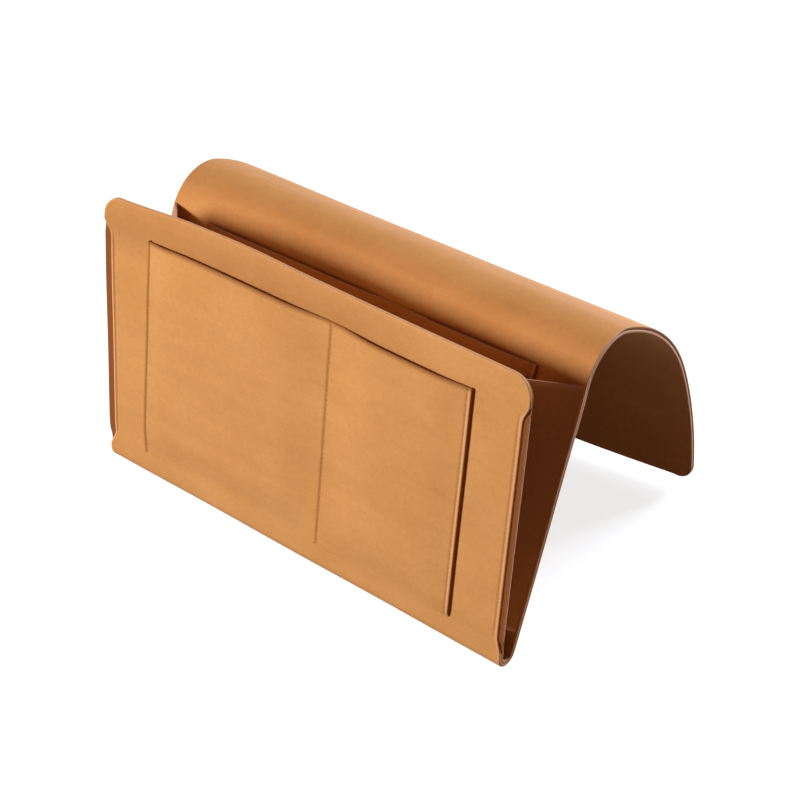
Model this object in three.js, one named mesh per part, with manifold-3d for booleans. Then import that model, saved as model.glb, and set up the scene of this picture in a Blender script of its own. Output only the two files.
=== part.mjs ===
// A leather caddy that straddles a sofa's arm, in millimetres, with +Z up and X along its width.
// One stiffened sheet runs down the front panel, round a bottom fold, up a slanting wall, over the
// saddle that rests on the arm, and down the back flap. Pleated gussets close the ends of the pocket
// between front panel and wall, and a flat two-part pocket is sewn to each of them.
// The origin is the crown of the saddle's underside, where the arm carries the caddy.
import * as THREE from 'three';
import Module from 'manifold-3d';
import { mergeVertices } from 'three/addons/utils/BufferGeometryUtils.js';

const wasm = await Module();
wasm.setup();

// Overall sizes of the sheet
const WIDTH = 330;
const FRONT_LENGTH = 199;
const WALL_LENGTH = 174;
const FLAP_LENGTH = 108;

// Bends of the sheet: radii are those of the skin's outer face, angles are in degrees
const FRONT_LEAN = 6;
const WALL_SLANT = 22;
const FOLD_RADIUS = 8.2;
const SADDLE_RADIUS = 29.6;
const SADDLE_END_SLOPE = 23;
const FLEX_RADIUS = 144;
const FLEX_END_SLOPE = 64.5;
const FLAP_RADIUS = 306;

// Layers of the sheet, from the skin to the lining
const SKIN = 1.3;
const BOARD = 1;
const LINING = 1.3;
const CLEARANCE = 0.3;

// Outline of the front panel and of the flap
const CORNER_RADIUS = 13;
const EAR_LENGTH = 20;
const EAR_CURVE = 16;
const EDGE_INSET = 4.7;
const FLARE_LENGTH = 14;
const FLAP_CORNER = 11;
const BOARD_MARGIN = 9;

// Flat pockets: places are measured down from the sheet's upper end and from the middle of the width
const POCKET_LEATHER = 1.3;
const POCKET_DEPTH = 3.2;
const POCKET_WIDTH = 255;
const POCKET_RIM = 4;
const DIVIDER_ROLL = 7;
const FRONT_POCKET_TOP = 23;
const FRONT_POCKET_HEIGHT = 164;
const FRONT_DIVIDER_X = 21;
const INNER_POCKET_TOP = 2;
const INNER_POCKET_HEIGHT = 150;
const INNER_DIVIDER_X = 24;

// Gussets: heights are measured from the bottom fold along the front panel and along the wall
const GUSSET_LEATHER = 1.2;
const GUSSET_FOOT = 14;
const GUSSET_TOP = 172;
const CREASE_DEPTH_TOP = 26;
const CREASE_DEPTH_FOOT = 13;
const CREASE_ROUND = 3;
const GUSSET_EDGE_INSET = 1;

// Smoothness of the curves
const FOLD_STEPS = 20;
const SADDLE_STEPS = 16;
const FLEX_STEPS = 14;
const FLAP_STEPS = 12;
const CORNER_STEPS = 8;
const CREASE_STEPS = 6;
const GUSSET_LEVELS = 8;

// Points closer than this are one point
const WELD_DISTANCE = 1e-4;

const SHEET = SKIN + CLEARANCE + BOARD + CLEARANCE + LINING;
const BOARD_OFFSET = SKIN + CLEARANCE;
const LINING_OFFSET = SHEET - LINING;
const radians = THREE.MathUtils.degToRad;

const TAN = new THREE.MeshStandardMaterial({ color: 0xc98a52, roughness: 0.55, metalness: 0 });
const LINING_TAN = new THREE.MeshStandardMaterial({ color: 0xc08450, roughness: 0.6, metalness: 0 });
const GREYBOARD = new THREE.MeshStandardMaterial({ color: 0xa39a8c, roughness: 0.95, metalness: 0 });

// A stretch of the sheet's section in the YZ plane. Its line is the skin's outer face. It starts at a
// point with a heading measured from +Y, and turns evenly by a bend over its length, to the left if the
// bend is positive. Offsets are measured to the left of the line, from the skin to the lining.
class Stretch {
  constructor(start, heading, length, bend) {
    this.start = start;
    this.heading = heading;
    this.length = length;
    this.bend = bend;
  }

  headingAt(s) {
    return this.heading + (this.bend * s) / this.length;
  }

  direction(s = 0) {
    const h = this.headingAt(s);
    return new THREE.Vector2(Math.cos(h), Math.sin(h));
  }

  normal(s = 0) {
    const h = this.headingAt(s);
    return new THREE.Vector2(-Math.sin(h), Math.cos(h));
  }

  at(s, offset = 0) {
    if (this.bend === 0) {
      return this.start.clone().addScaledVector(this.direction(), s).addScaledVector(this.normal(), offset);
    }
    const radius = this.length / this.bend;
    const centre = this.start.clone().addScaledVector(this.normal(), radius);
    return centre.addScaledVector(this.normal(s), offset - radius);
  }

  point(x, s, offset = 0) {
    const p = this.at(s, offset);
    return new THREE.Vector3(x, p.x, p.y);
  }

  get end() {
    return this.at(this.length);
  }
}

// The saddle is placed first, with its crown at the origin, and the rest follows from its two ends
const wallHeading = radians(90 - WALL_SLANT);
const saddleEnd = -radians(SADDLE_END_SLOPE);
const flexEnd = -radians(FLEX_END_SLOPE);
const saddleStart = new THREE.Vector2(
  -SADDLE_RADIUS * Math.sin(wallHeading),
  -SADDLE_RADIUS * (1 - Math.cos(wallHeading)),
);
const saddleTurn = wallHeading - saddleEnd;
const saddle = new Stretch(saddleStart, wallHeading, SADDLE_RADIUS * saddleTurn, -saddleTurn);
const flexTurn = saddleEnd - flexEnd;
const flex = new Stretch(saddle.end, saddleEnd, FLEX_RADIUS * flexTurn, -flexTurn);
const flap = new Stretch(flex.end, flexEnd, FLAP_LENGTH, -FLAP_LENGTH / FLAP_RADIUS);

const wallFoot = saddleStart.clone().addScaledVector(saddle.direction(), -WALL_LENGTH);
const wall = new Stretch(wallFoot, wallHeading, WALL_LENGTH, 0);
const frontHeading = -radians(90 + FRONT_LEAN);
const foldTurn = wallHeading - frontHeading;
const foldCentre = wallFoot.clone().addScaledVector(wall.normal(), FOLD_RADIUS);
const frontDown = new THREE.Vector2(Math.cos(frontHeading), Math.sin(frontHeading));
const frontNormal = new THREE.Vector2(-Math.sin(frontHeading), Math.cos(frontHeading));
const foldStart = foldCentre.clone().addScaledVector(frontNormal, -FOLD_RADIUS);
const fold = new Stretch(foldStart, frontHeading, FOLD_RADIUS * foldTurn, foldTurn);
const frontTop = foldStart.clone().addScaledVector(frontDown, -FRONT_LENGTH);
const front = new Stretch(frontTop, frontHeading, FRONT_LENGTH, 0);

function named(name, geometry, material) {
  const mesh = new THREE.Mesh(geometry, material);
  mesh.name = name;
  return mesh;
}

// Boolean work on closed meshes
function solid(geometry) {
  const bare = geometry.clone();
  bare.deleteAttribute('normal');
  bare.deleteAttribute('uv');
  const merged = mergeVertices(bare, WELD_DISTANCE);
  return new wasm.Manifold(
    new wasm.Mesh({
      numProp: 3,
      vertProperties: new Float32Array(merged.attributes.position.array),
      triVerts: new Uint32Array(merged.index.array),
    }),
  );
}

function geometryOf(manifold) {
  const mesh = manifold.getMesh();
  const geometry = new THREE.BufferGeometry();
  geometry.setAttribute('position', new THREE.BufferAttribute(new Float32Array(mesh.vertProperties), 3));
  geometry.setIndex(new THREE.BufferAttribute(new Uint32Array(mesh.triVerts), 1));
  return geometry;
}

// One layer of a stretch, as its section pulled across a width
function layer(stretch, offset, thickness, steps, margin = CLEARANCE / 2, width = WIDTH) {
  const from = margin;
  const to = stretch.length - margin;
  const section = [];
  for (let i = 0; i <= steps; i += 1) {
    section.push(stretch.at(from + ((to - from) * i) / steps, offset));
  }
  for (let i = steps; i >= 0; i -= 1) {
    section.push(stretch.at(from + ((to - from) * i) / steps, offset + thickness));
  }
  const shape = new THREE.Shape(section);
  const geometry = new THREE.ExtrudeGeometry(shape, { depth: width, bevelEnabled: false });
  const across = new THREE.Vector3(1, 0, 0);
  const along = new THREE.Vector3(0, 1, 0);
  const up = new THREE.Vector3(0, 0, 1);
  geometry.applyMatrix4(new THREE.Matrix4().makeBasis(along, up, across));
  geometry.translate(-width / 2, 0, 0);
  return geometry;
}

// A flat layer of a straight stretch, cut to an outline drawn across the width and down the stretch
function plate(stretch, outline, offset, thickness) {
  const geometry = new THREE.ExtrudeGeometry(outline, {
    depth: thickness,
    bevelEnabled: false,
    curveSegments: CORNER_STEPS,
  });
  const d = stretch.direction();
  const n = stretch.normal();
  const across = new THREE.Vector3(1, 0, 0);
  const along = new THREE.Vector3(0, d.x, d.y);
  const out = new THREE.Vector3(0, n.x, n.y);
  const matrix = new THREE.Matrix4().makeBasis(across, along, out);
  matrix.setPosition(stretch.point(0, 0, offset));
  return geometry.applyMatrix4(matrix);
}

// A curved layer cut to an outline, which is drawn across the width and along the stretch's first heading
function trimmed(stretch, outline, offset, thickness, steps) {
  const whole = solid(layer(stretch, offset, thickness, steps));
  const straight = new Stretch(stretch.start, stretch.headingAt(stretch.length / 2), stretch.length, 0);
  const reach = stretch.length;
  const cutter = solid(plate(straight, outline, -reach, reach * 2));
  return geometryOf(whole.intersect(cutter));
}

// The front panel's skin has rounded ears at full width, and between them and the flare at the fold its
// side edges step in, so that the lining's edge shows beside them
function frontSkinOutline() {
  const half = WIDTH / 2;
  const inner = half - EDGE_INSET;
  const bottom = FRONT_LENGTH - CLEARANCE / 2;
  const earEnd = EAR_LENGTH + EAR_CURVE;
  const earMiddle = EAR_LENGTH + EAR_CURVE / 2;
  const flareStart = bottom - FLARE_LENGTH;
  const flareMiddle = bottom - FLARE_LENGTH / 2;
  const shape = new THREE.Shape();
  shape.moveTo(-half, bottom);
  shape.bezierCurveTo(-half, flareMiddle, -inner, flareMiddle, -inner, flareStart);
  shape.lineTo(-inner, earEnd);
  shape.bezierCurveTo(-inner, earMiddle, -half, earMiddle, -half, EAR_LENGTH);
  shape.lineTo(-half, CORNER_RADIUS);
  shape.absarc(-half + CORNER_RADIUS, CORNER_RADIUS, CORNER_RADIUS, Math.PI, 1.5 * Math.PI, false);
  shape.lineTo(half - CORNER_RADIUS, 0);
  shape.absarc(half - CORNER_RADIUS, CORNER_RADIUS, CORNER_RADIUS, 1.5 * Math.PI, 2 * Math.PI, false);
  shape.lineTo(half, EAR_LENGTH);
  shape.bezierCurveTo(half, earMiddle, inner, earMiddle, inner, earEnd);
  shape.lineTo(inner, flareStart);
  shape.bezierCurveTo(inner, flareMiddle, half, flareMiddle, half, bottom);
  shape.closePath();
  return shape;
}

// A rectangle from one distance to another down a stretch, with its first or last corners rounded
function roundedOutline(halfWidth, from, to, firstRadius, lastRadius) {
  const shape = new THREE.Shape();
  shape.moveTo(-halfWidth, to - lastRadius);
  shape.lineTo(-halfWidth, from + firstRadius);
  if (firstRadius > 0) {
    const x = halfWidth - firstRadius;
    shape.absarc(-x, from + firstRadius, firstRadius, Math.PI, 1.5 * Math.PI, false);
    shape.lineTo(x, from);
    shape.absarc(x, from + firstRadius, firstRadius, 1.5 * Math.PI, 2 * Math.PI, false);
  } else {
    shape.lineTo(halfWidth, from);
  }
  shape.lineTo(halfWidth, to - lastRadius);
  if (lastRadius > 0) {
    const x = halfWidth - lastRadius;
    shape.absarc(x, to - lastRadius, lastRadius, 0, 0.5 * Math.PI, false);
    shape.lineTo(-x, to);
    shape.absarc(-x, to - lastRadius, lastRadius, 0.5 * Math.PI, Math.PI, false);
  } else {
    shape.lineTo(-halfWidth, to);
  }
  shape.closePath();
  return shape;
}

// A closed shell from rows of point pairs, one point on each face of a bent piece of leather
function shell(rows) {
  const columns = rows[0].length;
  const positions = [];
  const triangles = [];
  const faceSize = rows.length * columns;
  for (const face of [0, 1]) {
    for (const row of rows) {
      for (const pair of row) {
        positions.push(pair[face].x, pair[face].y, pair[face].z);
      }
    }
  }
  const index = (face, r, c) => face * faceSize + r * columns + c;
  const quad = (a, b, c, d) => {
    triangles.push(a, b, c, a, c, d);
  };
  const last = rows.length - 1;
  const edge = columns - 1;
  for (let r = 0; r < last; r += 1) {
    for (let c = 0; c < edge; c += 1) {
      quad(index(0, r, c), index(0, r, c + 1), index(0, r + 1, c + 1), index(0, r + 1, c));
      quad(index(1, r, c), index(1, r + 1, c), index(1, r + 1, c + 1), index(1, r, c + 1));
    }
    quad(index(0, r, 0), index(0, r + 1, 0), index(1, r + 1, 0), index(1, r, 0));
    quad(index(0, r, edge), index(1, r, edge), index(1, r + 1, edge), index(0, r + 1, edge));
  }
  for (let c = 0; c < edge; c += 1) {
    quad(index(0, 0, c), index(1, 0, c), index(1, 0, c + 1), index(0, 0, c + 1));
    quad(index(0, last, c), index(0, last, c + 1), index(1, last, c + 1), index(1, last, c));
  }
  const geometry = new THREE.BufferGeometry();
  geometry.setAttribute('position', new THREE.Float32BufferAttribute(positions, 3));
  geometry.setIndex(triangles);
  const manifold = solid(geometry);
  if (manifold.volume() > 0) {
    return geometry;
  }
  geometry.index.array.reverse();
  return geometry;
}

const smooth = (t) => THREE.MathUtils.smoothstep(t, 0, 1);

// How far a flat pocket stands off what it is sewn to, as a share of its depth: nothing at its two side
// seams, its divider and its bottom seam, and all of it a rim's width away from them
function standOff(x, down, dividerX, height) {
  const half = POCKET_WIDTH / 2;
  const sides = smooth((half - Math.abs(x)) / POCKET_RIM);
  const divider = smooth(Math.abs(x - dividerX) / DIVIDER_ROLL);
  const bottom = smooth((height - down) / POCKET_RIM);
  return Math.min(sides, divider) * bottom;
}

// A flat pocket with a divider seam, sewn to a straight stretch on the face at baseOffset, on the side
// that outward gives: -1 past the skin, 1 past the lining. Its mouth lies mouthAt along the stretch and
// its bottom a height away from there, in the sense that downward gives.
function flatPocket(stretch, baseOffset, outward, mouthAt, height, downward, dividerX) {
  const half = POCKET_WIDTH / 2;
  const rimShares = [0, 0.25, 0.5, 0.75, 1];
  const columns = rimShares.map((t) => -half + t * POCKET_RIM);
  const rolls = rimShares.map((t) => t * DIVIDER_ROLL);
  columns.push(...rolls.toReversed().map((t) => dividerX - t));
  columns.push(...rolls.slice(1).map((t) => dividerX + t));
  columns.push(...rimShares.toReversed().map((t) => half - t * POCKET_RIM));
  const rows = [0, (height - POCKET_RIM) / 2];
  rows.push(...rimShares.toReversed().map((t) => height - t * POCKET_RIM));
  return shell(
    rows.map((down) =>
      columns.map((x) => {
        const rise = CLEARANCE + POCKET_DEPTH * standOff(x, down, dividerX, height);
        const s = mouthAt + down * downward;
        return [
          stretch.point(x, s, baseOffset + outward * (rise + POCKET_LEATHER)),
          stretch.point(x, s, baseOffset + outward * rise),
        ];
      }),
    ),
  );
}

// One gusset: leather that runs from the wall's side edge in to a rounded crease and out again to the
// front panel's side edge. side is 1 for the right end and -1 for the left.
function gusset(side) {
  const edgeX = WIDTH / 2 - GUSSET_EDGE_INSET;
  const rows = [];
  for (let j = 0; j <= GUSSET_LEVELS; j += 1) {
    const share = j / GUSSET_LEVELS;
    const up = GUSSET_FOOT + (GUSSET_TOP - GUSSET_FOOT) * share;
    const depth = CREASE_DEPTH_FOOT + (CREASE_DEPTH_TOP - CREASE_DEPTH_FOOT) * share;
    const onWall = wall.at(up, SHEET + CLEARANCE);
    const onFront = front.at(FRONT_LENGTH - up, SHEET + CLEARANCE);
    const span = onWall.distanceTo(onFront);
    const lean = Math.atan2(depth, span / 2);
    // The section is drawn in a plane: u runs from the wall to the front panel, v inwards from the edge
    const bevel = GUSSET_LEATHER / Math.cos(lean);
    const centre = new THREE.Vector2(span / 2, depth - CREASE_ROUND / Math.cos(lean));
    const pairs = [[[0, bevel], [0, 0]]];
    for (let i = 0; i <= CREASE_STEPS; i += 1) {
      const a = Math.PI / 2 + lean - (2 * lean * i) / CREASE_STEPS;
      const round = (radius) => [centre.x + Math.cos(a) * radius, centre.y + Math.sin(a) * radius];
      pairs.push([round(CREASE_ROUND + GUSSET_LEATHER), round(CREASE_ROUND)]);
    }
    pairs.push([[span, bevel], [span, 0]]);
    const toSpace = ([u, v]) => {
      const p = onWall.clone().lerp(onFront, u / span);
      return new THREE.Vector3(side * (edgeX - v), p.x, p.y);
    };
    rows.push(pairs.map((pair) => pair.map(toSpace)));
  }
  return shell(rows);
}

const group = new THREE.Group();
const halfWidth = WIDTH / 2;
const boardHalf = halfWidth - BOARD_MARGIN;
const cut = CLEARANCE / 2;

// Front panel
group.add(named('front_skin', plate(front, frontSkinOutline(), 0, SKIN), TAN));
const frontBoard = roundedOutline(boardHalf, BOARD_MARGIN, FRONT_LENGTH - BOARD_MARGIN, 0, 0);
group.add(named('front_board', plate(front, frontBoard, BOARD_OFFSET, BOARD), GREYBOARD));
const frontLining = roundedOutline(halfWidth, 0, FRONT_LENGTH - cut, CORNER_RADIUS, 0);
group.add(named('front_lining', plate(front, frontLining, LINING_OFFSET, LINING), LINING_TAN));
const frontPocket = flatPocket(front, 0, -1, FRONT_POCKET_TOP, FRONT_POCKET_HEIGHT, 1, FRONT_DIVIDER_X);
group.add(named('front_pocket', frontPocket, TAN));

// Bottom fold
group.add(named('fold_skin', layer(fold, 0, SKIN, FOLD_STEPS), TAN));
group.add(named('fold_lining', layer(fold, LINING_OFFSET, LINING, FOLD_STEPS), LINING_TAN));

// Wall
const wallOutline = roundedOutline(halfWidth, cut, WALL_LENGTH - cut, 0, 0);
group.add(named('wall_skin', plate(wall, wallOutline, 0, SKIN), TAN));
const wallBoard = roundedOutline(boardHalf, BOARD_MARGIN, WALL_LENGTH - BOARD_MARGIN, 0, 0);
group.add(named('wall_board', plate(wall, wallBoard, BOARD_OFFSET, BOARD), GREYBOARD));
group.add(named('wall_lining', plate(wall, wallOutline, LINING_OFFSET, LINING), LINING_TAN));
const innerMouth = WALL_LENGTH - INNER_POCKET_TOP;
const innerPocket = flatPocket(wall, SHEET, 1, innerMouth, INNER_POCKET_HEIGHT, -1, INNER_DIVIDER_X);
group.add(named('inner_pocket', innerPocket, LINING_TAN));

// Gussets
group.add(named('gusset_left', gusset(-1), LINING_TAN));
group.add(named('gusset_right', gusset(1), LINING_TAN));

// Saddle and the flexing strip behind it
group.add(named('saddle_skin', layer(saddle, 0, SKIN, SADDLE_STEPS), TAN));
group.add(named('saddle_lining', layer(saddle, LINING_OFFSET, LINING, SADDLE_STEPS), LINING_TAN));
group.add(named('flex_skin', layer(flex, 0, SKIN, FLEX_STEPS), TAN));
group.add(named('flex_lining', layer(flex, LINING_OFFSET, LINING, FLEX_STEPS), LINING_TAN));

// Back flap
const flapOutline = roundedOutline(halfWidth, -FLAP_CORNER, FLAP_LENGTH, 0, FLAP_CORNER);
group.add(named('flap_skin', trimmed(flap, flapOutline, 0, SKIN, FLAP_STEPS), TAN));
const flapBoard = layer(flap, BOARD_OFFSET, BOARD, FLAP_STEPS, BOARD_MARGIN, boardHalf * 2);
group.add(named('flap_board', flapBoard, GREYBOARD));
group.add(named('flap_lining', trimmed(flap, flapOutline, LINING_OFFSET, LINING, FLAP_STEPS), LINING_TAN));

export default group;
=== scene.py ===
"""A tan leather caddy that straddles a sofa's arm.

Lengths are in metres, with +Z up, +X along the width and -Y to the front panel's side. One sheet of two
leathers, a skin and a lining, runs down the front panel, round a bottom fold, up the wall, over the saddle
and down the back flap. The origin is the crown of the saddle's underside.

A place on the sheet is (x, s, offset): x across the width, s along the sheet from the front panel's top
edge, and offset in from the skin's outer face, towards the lining.
"""
import math
from dataclasses import dataclass

import bpy
import numpy as np
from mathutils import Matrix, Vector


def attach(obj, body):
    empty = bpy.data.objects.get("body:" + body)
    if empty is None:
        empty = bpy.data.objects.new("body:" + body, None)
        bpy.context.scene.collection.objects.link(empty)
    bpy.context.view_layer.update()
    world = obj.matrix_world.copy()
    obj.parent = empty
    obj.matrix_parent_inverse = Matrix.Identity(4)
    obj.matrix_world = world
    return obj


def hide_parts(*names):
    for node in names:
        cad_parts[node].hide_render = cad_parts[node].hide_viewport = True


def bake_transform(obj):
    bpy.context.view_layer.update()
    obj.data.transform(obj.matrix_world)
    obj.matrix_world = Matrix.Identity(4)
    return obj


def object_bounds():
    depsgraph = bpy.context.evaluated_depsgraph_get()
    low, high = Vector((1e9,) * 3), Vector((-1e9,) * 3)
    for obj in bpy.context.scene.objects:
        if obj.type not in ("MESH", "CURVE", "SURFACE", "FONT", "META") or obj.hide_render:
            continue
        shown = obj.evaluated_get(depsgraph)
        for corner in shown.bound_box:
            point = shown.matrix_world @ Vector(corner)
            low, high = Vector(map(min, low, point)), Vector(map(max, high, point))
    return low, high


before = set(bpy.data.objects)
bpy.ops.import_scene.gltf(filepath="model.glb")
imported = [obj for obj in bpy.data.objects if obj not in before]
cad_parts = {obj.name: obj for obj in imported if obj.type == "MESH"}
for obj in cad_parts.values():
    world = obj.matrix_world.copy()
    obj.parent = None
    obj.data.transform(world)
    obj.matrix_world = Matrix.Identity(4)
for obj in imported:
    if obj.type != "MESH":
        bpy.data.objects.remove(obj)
cad_box = [list(corner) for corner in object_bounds()]

MM = 0.001

# The sheet's section, as in the solids but with a flap that is 2.5 mm longer
HALF_WIDTH = 165 * MM
FRONT_LENGTH = 199 * MM
WALL_LENGTH = 174 * MM
FLAP_LENGTH = 110.5 * MM
FOLD_RADIUS = 8.2 * MM
SADDLE_RADIUS = 29.6 * MM
FLEX_RADIUS = 144 * MM
FLAP_RADIUS = 306 * MM
FRONT_HEADING = math.radians(-96)
WALL_HEADING = math.radians(68)
SADDLE_END_HEADING = math.radians(-23)
FLEX_END_HEADING = math.radians(-64.5)
SHEET = 4.2 * MM

# The boards between the leathers, and the hollow that each lies in
BOARD_FACE = 1.3 * MM
BOARD_MARGIN = 9 * MM
BOARD_SLACK = 0.3 * MM
HOLLOW_MARGIN = 7 * MM
HOLLOW_SLOPE = 1.5 * MM

# Outline of the sheet
CORNER_RADIUS = 13 * MM
FLAP_CORNER = 11 * MM
SHEET_START = 1.6 * MM
EAR_LENGTH = 18.5 * MM
EAR_CURVE = 11 * MM
EDGE_INSET = 5.1 * MM
SKIN_SHIFT = 1.5 * MM
FLARE_AT = 183 * MM
FLARE_LENGTH = 14 * MM
WALL_EXTRA = 0.6 * MM

# How the leather has settled
WAVE_DEPTH = 0.22 * MM
FRONT_DROP = 2 * MM
FRONT_TILT = 0.0187
LEAN_AT_FOOT = 0.5 * MM
LEAN_MORE_AT_TOP = 1.1 * MM
CORNER_SUNK = 4.6 * MM
SPREAD_AT_EAR, SPREAD_BETWEEN, SPREAD_AT_FOLD = -0.3 * MM, 1.8 * MM, -1.3 * MM
BOW_RISE = 1.7 * MM
BOW_AT = -47 * MM
BOW_WIDTH = 40 * MM
FLAP_CURL = 12 * MM
CURL_HALF = 151 * MM

# Leather
LAYER = 2.04 * MM
GLUE_LINE = 0.12 * MM
OUTER_ROUND = 0.7 * MM
SKIN_GLUE_ROUND = 0.3 * MM
LINING_GLUE_ROUND = 0.5 * MM
RAW_WIDTH = 0.5 * MM
TOP_SKIVE = 0.9 * MM
SKIN_SKIVE_SHARE = 0.6
SIDE_PINCH = 1.2 * MM
BARE_SWELL = 0.85 * MM
POCKET_LEATHER = 1.3 * MM
GUSSET_LEATHER = 1.2 * MM

# Seams and thread
SEAM_IN = 2.6 * MM
SEAM_WIDTH = 0.55 * MM
SEAM_DEPTH = 0.55 * MM
DIVIDER_DEPTH = 0.6 * MM
FOOT_DEPTH = 0.4 * MM
BEAD_IN = 1.15 * MM
STITCH_PITCH = 3.3 * MM
THREAD_RADIUS = 0.24 * MM

# Flat pockets
POCKET_HALF = 127.5 * MM
FRONT_MOUTH_ENDS = (-124.8 * MM, 127.6 * MM)
FRONT_FOOT_ENDS = (-131 * MM, 126 * MM)
INNER_POCKET_ENDS = (-131.5 * MM, 131.5 * MM)
POCKET_RISE = 4.8 * MM
POCKET_GAP = 0.1 * MM
POCKET_BEND = 1.1 * MM
POCKET_LOW = 0.04 * MM
FRONT_POCKET_TOP = 22.3 * MM
FRONT_POCKET_HEIGHT = 164 * MM
FRONT_DIVIDER_X = 22.6 * MM
INNER_MOUTH_PAST_WALL = 1 * MM
INNER_POCKET_HEIGHT = 150 * MM
INNER_DIVIDER_X = 24 * MM

# Gussets
GUSSET_IN = 0.9 * MM
GUSSET_LIFT = SHEET + 0.1 * MM
GUSSET_FOOT = 14 * MM
GUSSET_TOPS = {"left": 178 * MM, "right": 174.3 * MM}
CREASE_AT = 0.43
CREASE_FOOT = 13 * MM
CREASE_TOPS = {"left": 26 * MM, "right": 31 * MM}
CREASE_ROUND = 3 * MM
# How much painted shade darkens a pleat at its top
PLEAT_SHADE = 0.45

# Steps between rows where the sheet bends sharply, elsewhere on it, and on a flat pocket
FINE_STEP = 1.1 * MM
COARSE_STEP = 3.6 * MM
POCKET_STEP = 3.2 * MM

# Columns between a sheet's two edges, and how sharply two faces meet before their edge is drawn sharp
COLUMNS_BETWEEN = 56
SHARP_ANGLE = math.radians(50)

# Dyes and finishes, a painted highlight, and edge paint that also serves as painted shade
SKIN_LIGHT, SKIN_DARK = (0.715, 0.348, 0.122), (0.665, 0.308, 0.101)
LINING_LIGHT, LINING_DARK = (0.635, 0.285, 0.092), (0.575, 0.248, 0.075)
CUT_EDGE = (0.90, 0.52, 0.32)
# A painted highlight on rounded edges and beads
HIGHLIGHT_TINT = (0.98, 0.52, 0.26)
# Dark edge paint, which also serves as painted shade
EDGE_PAINT_AND_SHADE = (0.235, 0.07, 0.015)
IN_CREASES = (0.8, 0.74, 0.66)
WARM_SHEEN = (1, 0.66, 0.4)
GRAIN_SIZE = 1500.0
THREAD_DARK, THREAD_LIGHT = (0.52, 0.23, 0.075), (0.72, 0.36, 0.14)
BOARD_DARK, BOARD_LIGHT = (0.27, 0.25, 0.21), (0.45, 0.41, 0.35)

# Camera, floor and world
CAMERA_AT = (0.6151, -0.7778, 0.6112)
CAMERA_TURN = (53.63, 0, 38.18)
LENS, SENSOR_WIDTH = 83.14, 36
FLOOR_BELOW = 1.2 * MM
FLOOR_HALF = 12
FLOOR_SEEN, FLOOR_GLOW = (0.4, 0.4, 0.4), (0.8, 0.8, 0.8)
FLOOR_UNSEEN, WORLD_UNSEEN = (0.07, 0.03, 0.01), (0.06, 0.0252, 0.009)


def chord(length, heading, curvature):
    """End of an arc from its start: a chord of length l sinc(kl/2) at heading h + kl/2."""
    half_turn = curvature * length / 2
    reach = length * np.sinc(half_turn / np.pi)
    return np.stack([reach * np.cos(heading + half_turn), reach * np.sin(heading + half_turn)], -1)


# The six stretches of the sheet: front panel, fold, wall, saddle, flex and flap
LENGTHS = np.array([
    FRONT_LENGTH,
    FOLD_RADIUS * (WALL_HEADING - FRONT_HEADING),
    WALL_LENGTH,
    SADDLE_RADIUS * (WALL_HEADING - SADDLE_END_HEADING),
    FLEX_RADIUS * (SADDLE_END_HEADING - FLEX_END_HEADING),
    FLAP_LENGTH,
])
CURVATURES = np.array([0, 1 / FOLD_RADIUS, 0, -1 / SADDLE_RADIUS, -1 / FLEX_RADIUS, -1 / FLAP_RADIUS])
STARTS = np.concatenate([[0], np.cumsum(LENGTHS)[:-1]])
HEADINGS = FRONT_HEADING + np.concatenate([[0], np.cumsum(LENGTHS * CURVATURES)[:-1]])
FOLD_AT, WALL_AT, SADDLE_AT, FLEX_AT, FLAP_AT = STARTS[1:]
SHEET_END = FLAP_AT + FLAP_LENGTH

# The two halves of the sheet meet behind the inner pocket, where the wall is flat
SPLIT_AT = SADDLE_AT - 20 * MM


def stretch_starts():
    """Points (y, z) where the six stretches start: each is the last one plus the chord between them, and
    all are moved so that the saddle's crown is the origin."""
    points = np.concatenate([[[0, 0]], np.cumsum(chord(LENGTHS, HEADINGS, CURVATURES), 0)[:-1]])
    crown = points[3] + chord(SADDLE_RADIUS * WALL_HEADING, WALL_HEADING, -1 / SADDLE_RADIUS)
    return points - crown


STARTS_YZ = stretch_starts()


def section(s, offset):
    """Point (y, z) at distance s along the skin's line, and offset to its left, towards the lining."""
    i = np.clip(np.searchsorted(STARTS, s, side="right") - 1, 0, len(STARTS) - 1)
    run = s - STARTS[i]
    heading = HEADINGS[i] + CURVATURES[i] * run
    left = np.stack([-np.sin(heading), np.cos(heading)], -1)
    return STARTS_YZ[i] + chord(run, HEADINGS[i], CURVATURES[i]) + np.asarray(offset)[..., None] * left


def ramp(value, zero_at, one_at):
    """Smooth step t * t * (3 - 2 * t), with t held between 0 at one value and 1 at another."""
    t = np.clip((value - zero_at) / (one_at - zero_at), 0, 1)
    return t * t * (3 - 2 * t)


def within(value, start, end, slope, end_slope=None):
    """1 between two values and 0 outside them: a ramp up just past one times a ramp down to the other."""
    return ramp(value, start, start + slope) * ramp(value, end, end - (end_slope or slope))


def bell(distance, width, depth):
    """A bell-shaped section, for a pressed line or a raised bead: depth * exp(-(d / width)^2)."""
    return depth * np.exp(-((distance / width) ** 2))


def rounded(distance, radius):
    """How far a rounded arris drops at a distance in from the edge: r - sqrt(r^2 - (r - d)^2)."""
    inside = np.clip(radius - distance, 0, radius)
    return radius - np.sqrt(radius**2 - inside**2)


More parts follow.
